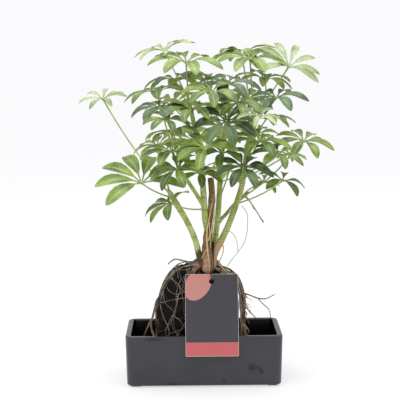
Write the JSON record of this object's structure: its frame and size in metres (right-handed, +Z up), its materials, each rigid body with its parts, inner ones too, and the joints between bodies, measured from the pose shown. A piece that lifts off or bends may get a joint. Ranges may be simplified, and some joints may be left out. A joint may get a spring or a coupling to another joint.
{
  "type": "potted umbrella plant",
  "caption": "Umbrella plant with bare green stems and palmate leaves, rooted over a dark lava stone that stands in a rectangular ceramic tray, with a hanging card.",
  "frame": {"origin": "on the ground under the middle of the whole plant's outline, which is also the middle of the tray", "axes": "+Z up, -Y towards the front with the card, X along the tray"},
  "size_m": [0.326, 0.2326, 0.4372],
  "materials": {
    "tray_ceramic": "anthracite satin glaze",
    "lava": "rough, porous",
    "bark": "matte bark",
    "pale_root": "matte, smooth",
    "green_stem": "smooth green bark",
    "printed_card": "smooth printed",
    "black_string": "twisted, matte",
    "leaf_young": "soft waxy",
    "leaf_light": "waxy",
    "leaf_mature": "waxy",
    "leaf_dark": "waxy, glossy"
  },
  "bodies": {
    "root": {"tray": "tray_ceramic", "lava_stone": "lava", "trunk_and_roots": "bark", "prop_root": "bark", "aerial_roots": "pale_root", "hanging_roots": "pale_root", "stem_left": "green_stem", "stem_centre": "green_stem", "stem_branch": "green_stem", "stem_back": "green_stem", "stem_right": "green_stem", "stem_side": "green_stem", "card": "printed_card", "card_string": "black_string", "leaf_top_left": "leaf_young", "leaf_far_right_top": "leaf_young", "leaf_far_left": "leaf_young", "leaf_front_right_young": "leaf_young", "leaf_right_small": "leaf_young", "leaf_top_mid": "leaf_light", "leaf_top_right": "leaf_light", "leaf_top_right_back": "leaf_light", "leaf_right_low_thin": "leaf_light", "leaf_front_light": "leaf_light", "leaf_left_big": "leaf_light", "leaf_top_back": "leaf_light", "leaf_right_upper_back": "leaf_mature", "leaf_left_upper": "leaf_mature", "leaf_left_small": "leaf_mature", "leaf_front_right": "leaf_mature", "leaf_far_right": "leaf_mature", "leaf_right_low": "leaf_mature", "leaf_low_left": "leaf_mature", "leaf_upper_front_left": "leaf_mature", "leaf_upper_front": "leaf_mature", "leaf_right_back": "leaf_mature", "leaf_left_back": "leaf_mature", "leaf_mid_back_left": "leaf_mature", "leaf_left_back_low": "leaf_mature", "leaf_low_back": "leaf_mature", "leaf_inner_left": "leaf_mature", "leaf_inner_right": "leaf_mature", "leaf_front_high": "leaf_mature", "leaf_centre_low": "leaf_mature", "leaf_right_front_low": "leaf_mature", "leaf_right_upper": "leaf_dark", "leaf_left_mid": "leaf_dark", "leaf_upper_left_back": "leaf_dark", "leaf_upper_mid": "leaf_dark", "leaf_front_mid": "leaf_dark", "leaf_left_front_high": "leaf_mature", "leaf_left_front_low": "leaf_mature", "leaf_mid_front_low": "leaf_mature", "leaf_mid_right_front": "leaf_dark", "leaf_mid_back": "leaf_dark", "leaf_right_back_low": "leaf_dark", "leaf_inner": "leaf_dark"}
  },
  "joints": []
}
